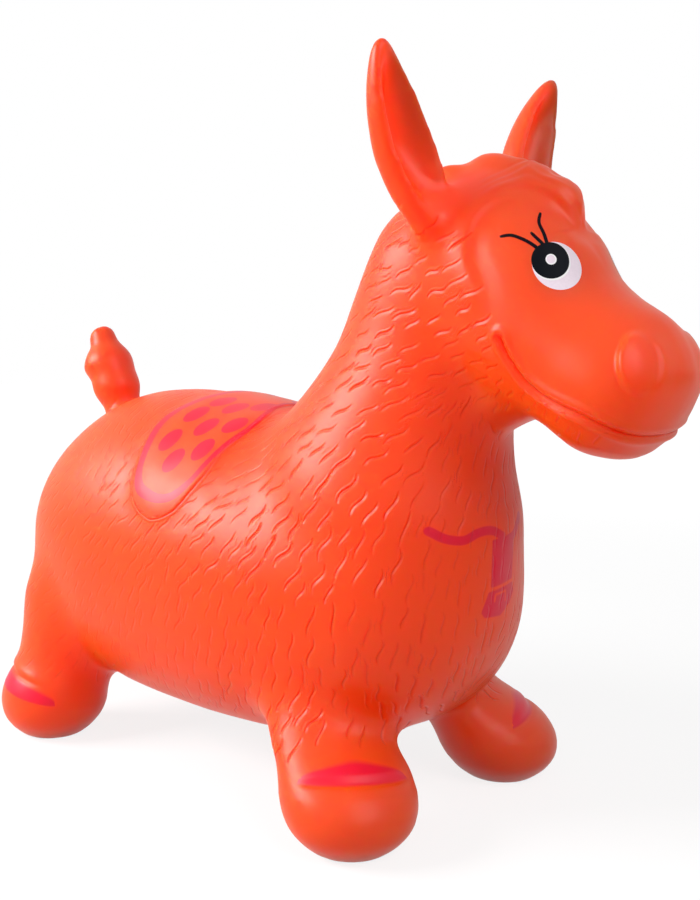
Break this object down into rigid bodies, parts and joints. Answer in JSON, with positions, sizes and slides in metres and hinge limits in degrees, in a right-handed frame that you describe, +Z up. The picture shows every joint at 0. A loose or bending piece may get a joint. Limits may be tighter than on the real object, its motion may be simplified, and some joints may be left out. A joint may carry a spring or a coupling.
{
  "type": "bouncy ride-on animal",
  "caption": "Inflated hollow horse for a toddler to sit on and bounce, with upright ears to hold, round feet, a saddle relief and an air valve under the belly.",
  "frame": {"origin": "on the floor, under the middle of the bounding box", "axes": "+X towards the nose, +Y to the horse's left, +Z up"},
  "size_m": [0.6174, 0.2726, 0.5285],
  "materials": {
    "orange_vinyl": "satin",
    "seat_vinyl": "satin",
    "stopper_plastic": "satin",
    "printed_ink": "gloss"
  },
  "bodies": {
    "horse": {"body_skin": "orange_vinyl", "valve_seat": "seat_vinyl"},
    "stopper": {"valve_stopper": "stopper_plastic"}
  },
  "joints": [
    {"name": "stopper_pull", "type": "slide", "parent": "horse", "child": "stopper", "axis": [0, 0, -1], "range_m": [0, 0.022]}
  ]
}
